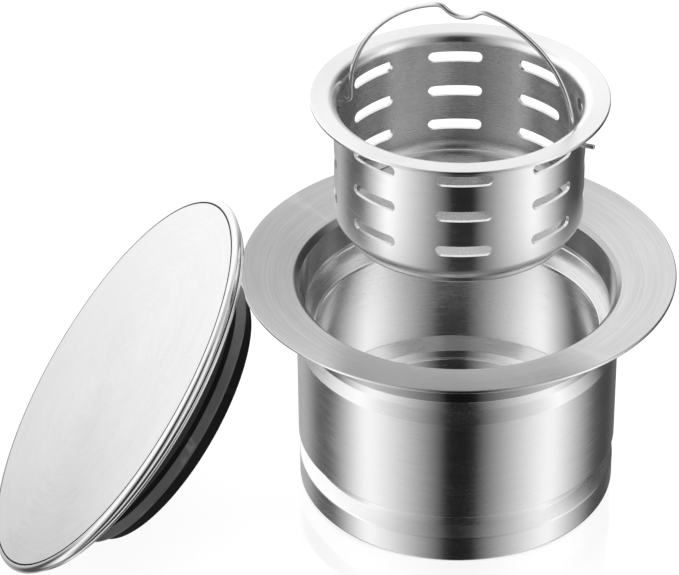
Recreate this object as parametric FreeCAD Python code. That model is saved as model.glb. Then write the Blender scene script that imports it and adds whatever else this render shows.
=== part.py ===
import FreeCAD, Part
import math
import os

# Sink-drain kit of a kitchen garbage disposal: a long flanged sleeve with a basket seat,
# a deep slotted strainer basket with a wire bail handle, and a domed stopper with a rubber seal.
# Millimetres, +Z up. The origin is on the sleeve axis, in the plane the sleeve stands on.

V = FreeCAD.Vector
ORIGIN = V(0.0, 0.0, 0.0)
Z_AXIS = V(0.0, 0.0, 1.0)

# ---- rounds shared by the pressed sheet parts ----
edge_round = 0.3            # cut sheet edges
fold_round = 0.4            # tight folds and groove floors
roll_round = 0.8            # easier rolls

# ---- sleeve: overall sizes ----
flange_radius = 57.15       # 4 1/2 in flange over a 3 1/2 in sink hole
sleeve_height = 65.0        # bottom end to the flange's outer edge
tube_radius = 42.6          # outside of the long tube
tube_sheet = 1.3
flange_sheet = 0.9
flange_dish = 3.0           # how far the flange top falls from its edge to the throat
neck_round = 1.2            # under the flange, where it turns down into the tube
throat_step = 1.1           # the seat's bore is this much tighter than the tube's
throat_radius = tube_radius - tube_sheet - throat_step  # the stopper and the basket rim go in here
mouth_roll = 1.5            # the bore rolls out this far into the flange
mouth_radius = throat_radius + mouth_roll
collar_step = 0.2           # the bottom collar is this much smaller than the tube

# ---- sleeve: depths below the flange edge ----
score_top = 11.0            # shallow line rolled into the bore
score_end = 12.6
score_cut = 0.2
score_ramp = 0.3
upper_groove_top = 14.0     # snap-ring groove outside the basket seat
upper_groove_floor = 14.8
upper_groove_floor_end = 17.4
upper_groove_end = 20.8
upper_groove_sheet = 1.0    # left behind the groove's floor
upper_groove_radius = throat_radius + upper_groove_sheet
seat_depth = 17.7           # the basket rests here
throat_end = 20.0           # the bore opens out to the tube below the seat
throat_ramp_end = 21.4
lower_groove_top = 50.4
lower_groove_floor = 52.6
lower_groove_floor_end = 55.0
lower_groove_end = 57.5
lower_groove_cut = 3.1
lower_groove_radius = tube_radius - lower_groove_cut

# ---- basket seat ring, pressed into the bore ----
seat_ring_width = 2.8
seat_opening_radius = throat_radius - seat_ring_width
seat_ring_thickness = 1.3
seat_lip_round = 0.55
press_gap = 0.02

# ---- strainer basket ----
seat_overlap = 0.8          # how far the rim reaches over the seat ring, all round
basket_rim_radius = seat_opening_radius + seat_overlap
basket_wall_radius = 32.2
basket_sheet = 0.9
basket_height = 37.8
basket_hover = 51.7         # rim above the flange edge while the basket is held out of the sleeve
rim_under_round = 1.9       # wall into the rim, outside
rim_over_round = 2.6        # and inside
floor_round = 2.9           # wall into the floor, inside
heel_round = 4.0            # and outside
heel_rise = 3.9             # start of the heel above the foot
foot_radius = 29.7          # standing ring rolled under the floor
foot_inner_radius = 26.6
floor_rise = 3.3            # underside of the floor above the foot
shoulder_radius = 30.4      # small step above the foot
shoulder_rise = 2.1
slot_length = 14.3
slot_height = 3.0
slot_columns = 8
slot_rows = 3
slot_first_depth = 6.4
slot_pitch = 10.2

# ---- bail handle ----
wire_radius = 0.65
wire_hole_gap = 0.10        # radial running clearance of the wire in its wall holes
bail_turn = -22.5           # direction of the hinge line, midway between two slot columns
bail_pivot_depth = 7.8      # hinge line below the basket rim
bail_bend = 1.3             # bend from the hinge pins up into the legs
bail_side_gap = 0.75        # wire to the inside of the basket wall
bail_arch_radius = basket_wall_radius - basket_sheet - bail_side_gap - wire_radius
bail_arch_drop = 4.6        # centre of the arch below the basket rim
bail_shoulder_half = 6.2    # half width between the shoulders either side of the finger dip
bail_shoulder_round = 3.0   # bend at each shoulder
bail_dip = 3.1              # finger dip below the top of the arch
bail_stub_reach = 3.9       # wire end outside the basket wall

# ---- stopper: pieces are drawn face up, depths measured down from the cap's edge ----
stopper_inset = 2.25        # the cap's edge is this far inside the flange's
stopper_radius = flange_radius - stopper_inset
stopper_dome = 2.0
cap_sheet = 0.8
cap_edge = 2.4              # thickness over the rolled edge
cap_hem = 3.2               # width of the edge folded back under the cap
plate_inset = 1.7           # the plate's edge is this far inside the cap's
plate_radius = stopper_radius - plate_inset
plate_sheet = 0.8
plate_gap = 0.8
tab_count = 3               # small lanced tabs under the plate
tab_radius = 44.0
tab_width = 3.0
tab_drop = 3.0
tab_bite = 0.2
hub_wall = 4.0              # skirt of the hub round its recess
hub_recess_depth = 13.0
hub_lip = 1.6               # foot of the hub that keeps the seal on, height and reach
seal_top_depth = 11.4
seal_groove = 1.6           # how far the seal sits into the hub
seal_clearance = 0.8        # seal inside the bore, all round
seal_radius = throat_radius - seal_clearance
seal_flare = 2.2            # from the seal's shoulder out to its lip
seal_shoulder_radius = seal_radius - seal_flare
seal_lip_depth = 14.2
seal_lip_end = 14.7
seal_step = 1.4             # from the lip in to the body below it
seal_step_end = 15.1
seal_bottom_depth = 18.6
seal_taper = 2.8            # from the lip in to the bottom
seal_bottom_radius = seal_radius - seal_taper
seal_width = 5.9            # rubber outside the hub's wall
hub_radius = seal_radius - seal_width
seal_cover = 0.2            # how far the seal stands below the hub's foot
stud_radius = 3.0
stud_gap = 0.2              # radial clearance of the stud in its holes
stud_show = 0.3             # stud end below the nut
nut_flats = 10.0
nut_height = 4.0
washer_radius = 9.0
washer_thickness = 1.0

# ---- stopper: how it leans on the sleeve ----
stopper_tilt = 52.4         # lean of the disc from the horizontal
stopper_turn = 3.2          # small turn of the lean about the vertical
stopper_side = -21.5        # stopper centre, across the lean
stopper_nest = 5.8          # how far the seal tucks in under the flange's edge
stopper_gap = flange_radius + seal_radius - stopper_nest

# ---- heights and radii worked out from the sizes above ----
tube_bore = tube_radius - tube_sheet
basket_top = sleeve_height + basket_hover
bail_pivot = basket_top - bail_pivot_depth
plate_top = -(cap_edge + plate_gap)
plate_low = plate_top - plate_sheet
stud_hole = stud_radius + stud_gap
washer_low = -(hub_recess_depth + washer_thickness)
nut_low = washer_low - nut_height


def rounded_edges(corners):
    """Edges of a closed outline whose corners are (r, z, fillet radius)."""
    count = len(corners)
    starts = []
    ends = []
    edges = []
    for i in range(count):
        r, z, radius = corners[i]
        here = V(r, 0, z)
        if radius <= 0:
            starts.append(here)
            ends.append(here)
            continue
        before = V(corners[i - 1][0], 0, corners[i - 1][1])
        after = V(corners[(i + 1) % count][0], 0, corners[(i + 1) % count][1])
        to_before = (before - here).normalize()
        to_after = (after - here).normalize()
        half = to_before.getAngle(to_after) / 2
        reach = radius / math.tan(half)
        first = here + to_before * reach
        last = here + to_after * reach
        inward = (to_before + to_after).normalize()
        middle = here + inward * (radius / math.sin(half) - radius)
        starts.append(first)
        ends.append(last)
        edges.append(Part.Arc(first, middle, last).toShape())
    for i in range(count):
        a = ends[i]
        b = starts[(i + 1) % count]
        if a.distanceToPoint(b) > 1e-6:
            edges.append(Part.makeLine(a, b))
    return Part.__sortEdges__(edges)


def turned(corners):
    """Solid of revolution about Z from an outline of (r, z, fillet radius) corners."""
    outline = Part.Wire(rounded_edges(corners))
    return Part.Face(outline).revolve(ORIGIN, Z_AXIS, 360)


def from_top(corners, top):
    """The same corners with z given as a depth below top."""
    return [(r, top - depth, radius) for r, depth, radius in corners]


def flat_ring(inner, outer, low, top, radius):
    """A plain flat ring with its outer edges rounded."""
    return turned([(inner, low, 0), (outer, low, radius), (outer, top, radius), (inner, top, 0)])


def save(shape, name):
    solids = shape.Solids
    body = solids[0] if len(solids) == 1 else Part.makeCompound(solids)
    body.exportStep("parts/" + name + ".step")
    print(name, len(solids), round(shape.Volume, 1), shape.isValid())


def make_sleeve():
    crest = lower_groove_radius - tube_sheet
    collar_radius = tube_radius - collar_step
    outlet_radius = tube_bore - collar_step
    outline = [
        (flange_radius, 0.0, edge_round),
        (flange_radius, flange_sheet, edge_round),
        (tube_radius, flange_sheet + flange_dish, neck_round),
        (tube_radius, upper_groove_top, edge_round),
        (upper_groove_radius, upper_groove_floor, edge_round),
        (upper_groove_radius, upper_groove_floor_end, fold_round),
        (tube_radius, upper_groove_end, roll_round),
        (tube_radius, lower_groove_top, edge_round),
        (lower_groove_radius, lower_groove_floor, fold_round),
        (lower_groove_radius, lower_groove_floor_end, fold_round),
        (collar_radius, lower_groove_end, roll_round),
        (collar_radius, sleeve_height, roll_round),
        (outlet_radius, sleeve_height, 0.0),
        (outlet_radius, lower_groove_end + fold_round, roll_round),
        (crest, lower_groove_floor_end + edge_round, fold_round),
        (crest, lower_groove_floor + edge_round, fold_round),
        (tube_bore, lower_groove_top - edge_round, fold_round),
        (tube_bore, throat_ramp_end, fold_round),
        (throat_radius, throat_end, edge_round),
        (throat_radius, score_end, 0.0),
        (throat_radius + score_cut, score_end - score_ramp, 0.0),
        (throat_radius + score_cut, score_top + score_ramp, 0.0),
        (throat_radius, score_top, 0.0),
        (mouth_radius, flange_dish + mouth_roll, fold_round),
        (mouth_radius + mouth_roll, flange_dish, neck_round),
    ]
    return turned(from_top(outline, sleeve_height))


def make_seat_ring():
    low = seat_depth + seat_ring_thickness
    outer = throat_radius - press_gap
    outline = [
        (seat_opening_radius, seat_depth, seat_lip_round),
        (outer, seat_depth, 0.0),
        (outer, low, 0.0),
        (seat_opening_radius, low, edge_round),
    ]
    return turned(from_top(outline, sleeve_height))


def slot_cutter(angle, height):
    """A round-ended slot through the basket wall, centred at one angle and height."""
    half = (slot_length - slot_height) / 2
    end = slot_height / 2
    low = V(0, -half, -end)
    top = V(0, -half, end)
    edges = [
        Part.makeLine(low, V(0, half, -end)),
        Part.Arc(V(0, half, -end), V(0, half + end, 0), V(0, half, end)).toShape(),
        Part.makeLine(V(0, half, end), top),
        Part.Arc(top, V(0, -half - end, 0), low).toShape(),
    ]
    cutter = Part.Face(Part.Wire(edges)).extrude(V(basket_rim_radius, 0, 0))
    cutter.translate(V(0, 0, height))
    cutter.rotate(ORIGIN, Z_AXIS, angle)
    return cutter


def make_basket():
    wall_inner = basket_wall_radius - basket_sheet
    floor_low = basket_height - floor_rise
    floor_top = floor_low - basket_sheet
    channel_outer = foot_radius - basket_sheet
    channel_inner = foot_inner_radius + basket_sheet
    channel_low = basket_height - basket_sheet
    outline = [
        (0.0, floor_low, 0.0),
        (foot_inner_radius, floor_low, fold_round),
        (foot_inner_radius, basket_height, roll_round),
        (foot_radius, basket_height, roll_round),
        (foot_radius, basket_height - shoulder_rise, 0.0),
        (shoulder_radius, basket_height - shoulder_rise, 0.0),
        (basket_wall_radius, basket_height - heel_rise, heel_round),
        (basket_wall_radius, basket_sheet + fold_round, rim_under_round),
        (basket_rim_radius, basket_sheet, edge_round),
        (basket_rim_radius, 0.0, edge_round),
        (wall_inner, fold_round, rim_over_round),
        (wall_inner, floor_top + fold_round, floor_round),
        (channel_outer, floor_top + roll_round, edge_round),
        (channel_outer, channel_low, fold_round),
        (channel_inner, channel_low, fold_round),
        (channel_inner, floor_top, fold_round),
        (0.0, floor_top, 0.0),
    ]
    shape = turned(from_top(outline, basket_top))
    cutters = []
    for column in range(slot_columns):
        angle = -90 + column * 360.0 / slot_columns
        for row in range(slot_rows):
            cutters.append(slot_cutter(angle, basket_top - slot_first_depth - row * slot_pitch))
    reach = basket_rim_radius
    hole_radius = wire_radius + wire_hole_gap
    hole = Part.makeCylinder(hole_radius, 2 * reach, V(-reach, 0, bail_pivot), V(1, 0, 0))
    hole.rotate(ORIGIN, Z_AXIS, bail_turn)
    cutters.append(hole)
    return shape.cut(cutters)


def wire_line(start, end):
    """Straight round wire from start to end."""
    return Part.makeCylinder(wire_radius, start.distanceToPoint(end), start, end - start)


def wire_arc(start, centre, degrees):
    """Round wire bent round centre in the XZ plane; positive degrees turn from +X towards +Z."""
    arm = start - centre
    tangent = V(-arm.z, 0, arm.x)
    section = Part.Face(Part.Wire(Part.makeCircle(wire_radius, start, tangent)))
    return section.revolve(centre, V(0, -1, 0), degrees)


def make_bail():
    """One wire: pin, leg and arch up to a shoulder, then half the finger dip; the other half mirrors it."""
    leg = bail_arch_radius
    centre = V(0, 0, basket_top - bail_arch_drop)
    stub = V(basket_wall_radius + bail_stub_reach, 0, bail_pivot)
    bend_centre = V(leg + bail_bend, 0, bail_pivot + bail_bend)
    bend_low = V(leg + bail_bend, 0, bail_pivot)
    leg_low = V(leg, 0, bail_pivot + bail_bend)
    leg_high = V(leg, 0, centre.z)
    shoulder_angle = math.acos(bail_shoulder_half / (leg - bail_shoulder_round))
    outward = V(math.cos(shoulder_angle), 0, math.sin(shoulder_angle))
    shoulder = centre + outward * (leg - bail_shoulder_round)
    arch_end = centre + outward * leg
    fall = centre.z + leg - bail_dip - shoulder.z
    dip_round = bail_shoulder_half ** 2 + fall ** 2 - bail_shoulder_round ** 2
    dip_round = dip_round / (2 * (bail_shoulder_round - fall))
    dip_centre = V(0, 0, shoulder.z + fall + dip_round)
    dip_angle = math.asin(bail_shoulder_half / (bail_shoulder_round + dip_round))
    dip_start = dip_centre + (shoulder - dip_centre).normalize() * dip_round
    shoulder_turn = math.degrees(math.pi / 2 + dip_angle - shoulder_angle)
    half = [
        wire_line(stub, bend_low),
        wire_arc(bend_low, bend_centre, -90.0),
        wire_line(leg_low, leg_high),
        wire_arc(leg_high, centre, math.degrees(shoulder_angle)),
        wire_arc(arch_end, shoulder, shoulder_turn),
        wire_arc(dip_start, dip_centre, -math.degrees(dip_angle)),
    ]
    other = [piece.mirror(ORIGIN, V(1, 0, 0)) for piece in half]
    shape = half[0].fuse(half[1:] + other)
    shape.rotate(ORIGIN, Z_AXIS, bail_turn)
    return shape


def leaned(shape):
    """Moves a stopper piece, drawn face up about Z, to where the stopper leans on the sleeve."""
    moved = shape.copy()
    lean = math.radians(stopper_tilt)
    roll = cap_edge / 2
    height = (stopper_radius - roll) * math.sin(lean) + roll * math.cos(lean) + roll
    moved.rotate(ORIGIN, V(0, 1, 0), -stopper_tilt)
    moved.rotate(ORIGIN, Z_AXIS, stopper_turn)
    moved.translate(V(-stopper_gap, stopper_side, height))
    return moved


def make_cap():
    """Domed sheet with a rolled edge, and the stud welded under its centre."""
    roll = cap_edge / 2
    flat = stopper_radius - roll
    half = flat / 2
    sphere = (flat * flat + stopper_dome * stopper_dome) / (2 * stopper_dome)
    rise = math.sqrt(sphere * sphere - half * half) - (sphere - stopper_dome)
    stud_root = math.sqrt(sphere * sphere - stud_radius * stud_radius) - (sphere - stopper_dome) - cap_sheet
    hem = flat - cap_hem
    hem_top = cap_sheet - cap_edge
    stud_low = nut_low - stud_show
    lining = [
        Part.Arc(V(flat, 0, hem_top), V(stopper_radius - cap_sheet, 0, -roll), V(flat, 0, -cap_sheet)),
        Part.Arc(V(flat, 0, -cap_sheet), V(half, 0, rise - cap_sheet), V(stud_radius, 0, stud_root)),
    ]
    edges = [
        Part.Arc(V(0, 0, stopper_dome), V(half, 0, rise), V(flat, 0, 0)).toShape(),
        Part.Arc(V(flat, 0, 0), V(stopper_radius, 0, -roll), V(flat, 0, -cap_edge)).toShape(),
        Part.makeLine(V(flat, 0, -cap_edge), V(hem, 0, -cap_edge)),
        Part.makeLine(V(hem, 0, -cap_edge), V(hem, 0, hem_top)),
        Part.makeLine(V(hem, 0, hem_top), V(flat, 0, hem_top)),
        lining[0].toShape(),
        lining[1].toShape(),
        Part.makeLine(V(stud_radius, 0, stud_root), V(stud_radius, 0, stud_low)),
        Part.makeLine(V(stud_radius, 0, stud_low), V(0, 0, stud_low)),
        Part.makeLine(V(0, 0, stud_low), V(0, 0, stopper_dome)),
    ]
    return Part.Face(Part.Wire(edges)).revolve(ORIGIN, Z_AXIS, 360)


def make_plate():
    shape = flat_ring(stud_hole, plate_radius, plate_low, plate_top, edge_round)
    tabs = []
    for turn in range(tab_count):
        corner = V(tab_radius, -tab_width / 2, plate_low - tab_drop)
        tab = Part.makeBox(plate_sheet, tab_width, tab_drop + tab_bite, corner)
        tab.rotate(ORIGIN, Z_AXIS, (turn + 0.5) * 360.0 / tab_count)
        tabs.append(tab)
    return shape.fuse(tabs).removeSplitter()


def make_hub():
    groove = hub_radius - seal_groove
    low = -(seal_bottom_depth - seal_cover)
    foot = hub_radius + hub_lip
    outline = [
        (stud_hole, plate_low, 0.0),
        (stud_hole, -hub_recess_depth, 0.0),
        (hub_radius - hub_wall, -hub_recess_depth, roll_round),
        (hub_radius - hub_wall, low, fold_round),
        (foot, low, fold_round),
        (foot, low + hub_lip, edge_round),
        (groove, low + hub_lip, 0.0),
        (groove, -seal_top_depth, 0.0),
        (hub_radius, -seal_top_depth, edge_round),
        (hub_radius, plate_low, 0.0),
    ]
    return turned(outline)


def make_seal():
    inner = hub_radius - seal_groove + press_gap
    top = -(seal_top_depth + press_gap)
    ledge = -(seal_bottom_depth - seal_cover - hub_lip - press_gap)
    lip = hub_radius + hub_lip + edge_round
    outline = [
        (inner, top, 0.0),
        (inner, ledge, 0.0),
        (lip, ledge, 0.0),
        (lip, -seal_bottom_depth, edge_round),
        (seal_bottom_radius, -seal_bottom_depth, roll_round),
        (seal_radius - seal_step, -seal_step_end, 0.0),
        (seal_radius, -seal_lip_end, 0.0),
        (seal_radius, -seal_lip_depth, 0.0),
        (seal_shoulder_radius, top, fold_round),
    ]
    return turned(outline)


def make_washer():
    return flat_ring(stud_hole, washer_radius, washer_low, -hub_recess_depth, edge_round)


def make_nut():
    across_corners = nut_flats / math.cos(math.radians(30))
    corners = []
    for i in range(7):
        a = math.radians(60 * i)
        corners.append(V(across_corners / 2 * math.cos(a), across_corners / 2 * math.sin(a), nut_low))
    prism = Part.Face(Part.makePolygon(corners)).extrude(V(0, 0, nut_height))
    bore = Part.makeCylinder(stud_radius + press_gap, nut_height, V(0, 0, nut_low))
    return prism.cut(bore)


def build():
    os.makedirs("parts", exist_ok=True)
    save(make_sleeve(), "sink_sleeve")
    save(make_seat_ring(), "basket_seat_ring")
    save(make_basket(), "strainer_basket")
    save(make_bail(), "bail_handle")
    save(leaned(make_cap()), "stopper_cap")
    save(leaned(make_plate()), "stopper_plate")
    save(leaned(make_hub()), "stopper_hub")
    save(leaned(make_seal()), "stopper_seal")
    save(leaned(make_washer()), "stopper_washer")
    save(leaned(make_nut()), "stopper_nut")


build()
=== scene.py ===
import logging
import math
from dataclasses import dataclass, field
from enum import Enum

import bmesh
import bpy
import numpy as np
from mathutils import Matrix, Vector


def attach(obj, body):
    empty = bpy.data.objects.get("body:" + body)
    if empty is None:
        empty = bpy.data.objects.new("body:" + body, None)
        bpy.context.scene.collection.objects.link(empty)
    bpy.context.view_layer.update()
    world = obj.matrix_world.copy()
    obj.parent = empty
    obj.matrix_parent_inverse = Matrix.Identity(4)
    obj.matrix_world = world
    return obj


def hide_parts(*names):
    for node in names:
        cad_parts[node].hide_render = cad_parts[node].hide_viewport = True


LOG = logging.getLogger("drain_set")
MM = 0.001

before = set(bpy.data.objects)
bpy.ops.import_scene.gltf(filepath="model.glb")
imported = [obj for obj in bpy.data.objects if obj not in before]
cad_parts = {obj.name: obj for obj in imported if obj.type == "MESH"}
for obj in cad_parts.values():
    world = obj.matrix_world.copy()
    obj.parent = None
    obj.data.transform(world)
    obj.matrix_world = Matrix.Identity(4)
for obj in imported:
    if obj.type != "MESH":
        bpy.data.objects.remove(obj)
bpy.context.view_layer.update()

NOISE_LOW, NOISE_HIGH = 0.3, 0.7    # nearly all of a noise's values lie between these
EDGE_FROM, EDGE_FULL = 0.52, 0.62   # pointiness where wear on an edge starts and where it is full
METAL_RELIEF = 0.00003              # height of the finest lines in steel, in metres
MOULD_RELIEF = 0.00004              # and of a moulded skin
WRAP_LENGTH = 200.0                 # millimetres of outline to one unit of the turned map
WRAP_ROWS = 1 / (WRAP_LENGTH * MM)  # the same by the metre
BAND_REACH = 0.03                   # a corner this near a band, in millimetres, lies on it
BAND_MATCH = 0.86                   # least cosine between a face's normal and its band's
TINY = 1e-6

Corner = tuple[float, float, float]
Socket = bpy.types.NodeSocket


class Body(Enum):
    """The moving bodies of the set, by their names in the frame."""

    SLEEVE = "sleeve"
    BASKET = "basket"
    BAIL = "bail"
    STOPPER = "stopper"


class Slot(Enum):
    """The record's material slots."""

    BRUSHED = "brushed_stainless"
    POLISHED = "polished_stainless"
    PLASTIC = "black_plastic"
    RUBBER = "black_rubber"


def link(name: str, data: bpy.types.ID) -> bpy.types.Object:
    """Makes an object and puts it in the scene.

    Args:
        name: its name.
        data: the mesh, lamp or camera that it shows.

    Returns:
        The new object.
    """
    made = bpy.data.objects.new(name, data)
    bpy.context.scene.collection.objects.link(made)
    return made


# ---------------------------------------------------------------- turned shapes


@dataclass
class Strip:
    """One turned band of an outline: its two ends (r, z) and the surface normal at each.

    Sharp corners keep two different normals, so flats stay flat right up to their edges.
    """

    start: tuple[float, float]
    end: tuple[float, float]
    start_normal: tuple[float, float]
    end_normal: tuple[float, float]


@dataclass
class Outline:
    """A closed outline of (r, z, fillet) corners in millimetres, turned about Z."""

    corners: list[Corner]
    step: float = 9.0

    def _counterclockwise(self) -> list[Corner]:
        """The corners, in the order that keeps metal on the left.

        Returns:
            The corners, reversed if they ran the other way.
        """
        area = 0.0
        for here, after in zip(self.corners, self.corners[1:] + self.corners[:1]):
            area += here[0] * after[1] - after[0] * here[1]
        return list(self.corners) if area > 0 else list(reversed(self.corners))

    def strips(self) -> list[Strip]:
        """Walks round the outline and splits each fillet into short bands.

        Returns:
            The bands in order, each with exact normals.
        """
        corners = self._counterclockwise()
        count = len(corners)
        arcs: list[list[tuple[Vector, Vector]]] = []
        for i, (r, z, fillet) in enumerate(corners):
            here = Vector((r, z))
            before = Vector(corners[i - 1][:2])
            after = Vector(corners[(i + 1) % count][:2])
            arriving = (here - before).normalized()
            leaving = (after - here).normalized()
            if fillet <= 0:
                arcs.append([(here, Vector((0, 0)))])
                continue
            half = math.acos(max(-1.0, min(1.0, (-arriving).dot(leaving)))) / 2
            reach = fillet / math.tan(half)
            inward = (leaving - arriving).normalized()
            centre = here + inward * (fillet / math.sin(half))
            first = here - arriving * reach
            outward = Vector((arriving.y, -arriving.x))
            sign = 1.0 if (first - centre).dot(outward) > 0 else -1.0
            a0 = math.atan2(first.y - centre.y, first.x - centre.x)
            sweep = (math.pi - 2 * half) * sign
            steps = max(3, math.ceil(abs(math.degrees(sweep)) / self.step))
            arc = []
            for k in range(steps + 1):
                a = a0 + sweep * k / steps
                way = Vector((math.cos(a), math.sin(a)))
                arc.append((centre + way * fillet, way * sign))
            arcs.append(arc)
        bands: list[Strip] = []
        for i, arc in enumerate(arcs):
            for (p, n), (q, m) in zip(arc, arc[1:]):
                bands.append(Strip(tuple(p), tuple(q), tuple(n), tuple(m)))
            p, q = arc[-1][0], arcs[(i + 1) % count][0][0]
            run = q - p
            if run.length > TINY:
                run.normalize()
                flat = (run.y, -run.x)
                bands.append(Strip(tuple(p), tuple(q), flat, flat))
        return bands


@dataclass
class DrawnOutline:
    """A closed outline of (r, z) points in millimetres, smooth where it bends gently.

    A bend of more than crisp degrees stays a sharp edge.
    """

    points: list[tuple[float, float]]
    crisp: float = 30.0

    def strips(self) -> list[Strip]:
        """Walks round the outline, one band a side.

        Returns:
            The bands in order, with shared normals wherever the outline bends gently.
        """
        points = [Vector(point) for point in self.points]
        count = len(points)
        area = sum(p.cross(q) for p, q in zip(points, points[1:] + points[:1]))
        if area < 0:
            points.reverse()
        sides = [(points[i], points[(i + 1) % count]) for i in range(count)]
        flats = [Vector(((q - p).y, -(q - p).x)).normalized() for p, q in sides]
        bands = []
        for i, (p, q) in enumerate(sides):
            ends = []
            for other in (flats[i - 1], flats[(i + 1) % count]):
                gentle = flats[i].angle(other) < math.radians(self.crisp)
                ends.append((flats[i] + other).normalized() if gentle else flats[i])
            bands.append(Strip(tuple(p), tuple(q), tuple(ends[0]), tuple(ends[1])))
        return bands


@dataclass
class Turning:
    """Turns an outline into a mesh with exact normals."""

    outline: Outline | DrawnOutline
    facets: int = 192

    def mesh(self, name: str) -> bpy.types.Mesh:
        """Makes the mesh in metres.

        Args:
            name: name for the mesh.

        Returns:
            A closed mesh of revolution about Z.
        """
        bands = [b for b in self.outline.strips() if b.start[0] > TINY or b.end[0] > TINY]
        rings: dict[tuple[int, int], list[int]] = {}
        verts: list[tuple[float, float, float]] = []
        turn = [2 * math.pi * j / self.facets for j in range(self.facets)]

        def ring(point: tuple[float, float]) -> list[int]:
            """Vertex numbers of the ring at an outline point, made once.

            Args:
                point: the outline's (r, z), in millimetres.

            Returns:
                One vertex number a facet.
            """
            key = (round(point[0] * 1e4), round(point[1] * 1e4))
            if key not in rings:
                r, z = point[0] * MM, point[1] * MM
                first = len(verts)
                if point[0] < TINY:
                    verts.append((0.0, 0.0, z))
                    rings[key] = [first] * self.facets
                else:
                    verts.extend((r * math.cos(a), r * math.sin(a), z) for a in turn)
                    rings[key] = list(range(first, first + self.facets))
            return rings[key]

        faces: list[tuple[int, ...]] = []
        normals: list[tuple[float, float, float]] = []
        wraps: list[tuple[float, float]] = []
        walked = 0.0
        for band in bands:
            length = math.dist(band.start, band.end)
            low, high = ring(band.start), ring(band.end)
            for j in range(self.facets):
                k = (j + 1) % self.facets
                around = ((low[j], band.start_normal, j, 0.0), (low[k], band.start_normal, j + 1, 0.0),
                          (high[k], band.end_normal, j + 1, length), (high[j], band.end_normal, j, length))
                kept = []
                for index, normal, place, gone in around:
                    if index not in [entry[0] for entry in kept]:
                        kept.append((index, normal, place, gone))
                faces.append(tuple(entry[0] for entry in kept))
                for _, (nr, nz), place, gone in kept:
                    a = 2 * math.pi * place / self.facets
                    normals.append((nr * math.cos(a), nr * math.sin(a), nz))
                    wraps.append((place / self.facets, (walked + gone) / WRAP_LENGTH))
            walked += length
        mesh = bpy.data.meshes.new(name)
        mesh.from_pydata(verts, [], faces)
        around_map = mesh.uv_layers.new(name="turned")
        around_map.data.foreach_set("uv", [number for pair in wraps for number in pair])
        spots = mesh.attributes.new("turn_spot", "FLOAT_VECTOR", "POINT")
        spots.data.foreach_set("vector", [number for vert in verts for number in vert])
        mesh.polygons.foreach_set("use_smooth", [True] * len(mesh.polygons))
        mesh.normals_split_custom_set(normals)
        return mesh


def read(items: bpy.types.bpy_prop_collection, what: str, width: int = 1) -> np.ndarray:
    """Reads one value of every vertex, face or corner of a mesh.

    Args:
        items: the mesh's vertices, faces or corners.
        what: the value's name.
        width: how many numbers it has; one means a whole number.

    Returns:
        The numbers, one row an item.
    """
    numbers = np.empty(len(items) * width, float if width > 1 else np.int64)
    items.foreach_get(what, numbers)
    return numbers.reshape(-1, width) if width > 1 else numbers


def restore_normals(mesh: bpy.types.Mesh, bands: list[Strip]) -> None:
    """Gives a cut turned mesh its exact normals again; cut faces keep their own.

    Args:
        mesh: the cut mesh, in metres about Z.
        bands: the bands of the outline it was turned from.
    """
    places = read(mesh.vertices, "co", 3)[read(mesh.loops, "vertex_index")]
    flat = np.repeat(read(mesh.polygons, "normal", 3), read(mesh.polygons, "loop_total"), axis=0)
    radius = np.maximum(np.hypot(places[:, 0], places[:, 1]), TINY * MM)
    way = places[:, :2] / radius[:, None]
    point = np.stack([radius, places[:, 2]], 1) / MM
    best = np.full(len(places), -1.0)
    chosen = flat.copy()
    for band in bands:
        a, b = np.array(band.start), np.array(band.end)
        run = b - a
        share = np.clip(((point - a) @ run) / max(run @ run, 1e-12), 0, 1)[:, None]
        near = np.hypot(*(point - a - share * run).T) < BAND_REACH
        n = (1 - share) * np.array(band.start_normal) + share * np.array(band.end_normal)
        full = np.stack([n[:, 0] * way[:, 0], n[:, 0] * way[:, 1], n[:, 1]], 1)
        match = np.einsum("ij,ij->i", full, flat)
        take = near & (match > best) & (match > BAND_MATCH)
        best[take] = match[take]
        chosen[take] = full[take]
    mesh.polygons.foreach_set("use_smooth", [True] * len(mesh.polygons))
    mesh.normals_split_custom_set(chosen.tolist())


def mark_turning(mesh: bpy.types.Mesh) -> None:
    """Writes a cut mesh's turning data again, since cutting leaves gaps in it.

    Args:
        mesh: the cut mesh, in metres about Z.
    """
    spots = read(mesh.vertices, "co", 3)
    mesh.attributes["turn_spot"].data.foreach_set("vector", spots.ravel())
    middles = np.repeat(read(mesh.polygons, "center", 3), read(mesh.polygons, "loop_total"), axis=0)
    places = spots[read(mesh.loops, "vertex_index")]
    turn = np.arctan2(middles[:, 1], middles[:, 0])
    aside = np.arctan2(places[:, 1], places[:, 0]) - turn
    turn += np.arctan2(np.sin(aside), np.cos(aside))
    row = (np.hypot(places[:, 0], places[:, 1]) + places[:, 2]) * WRAP_ROWS
    wraps = np.stack([turn / (2 * math.pi), row], 1)
    mesh.uv_layers["turned"].data.foreach_set("uv", wraps.ravel())


def from_top(corners: list[Corner], top: float) -> list[Corner]:
    """The same corners with z given as a depth below top."""
    return [(r, top - depth, fillet) for r, depth, fillet in corners]


def place(name: str, mesh: bpy.types.Mesh, body: Body, slot: Slot, stands_for: str,
          where: Matrix | None = None) -> bpy.types.Object:
    """Puts a piece in the scene and ties it to its body.

    Args:
        name: the piece's name.
        mesh: its mesh, in metres.
        body: the body it moves with.
        slot: the record's slot; not used.
        stands_for: the frame node it replaces.
        where: its place in the frame; none leaves it as drawn.

    Returns:
        The new object.
    """
    piece = link(name, mesh)
    if where is not None:
        mesh.transform(where)
    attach(piece, body.value)
    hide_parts(stands_for)
    LOG.info("%s: %d faces on %s", name, len(mesh.polygons), body.value)
    return piece


# ---------------------------------------------------------------- finishes


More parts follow.
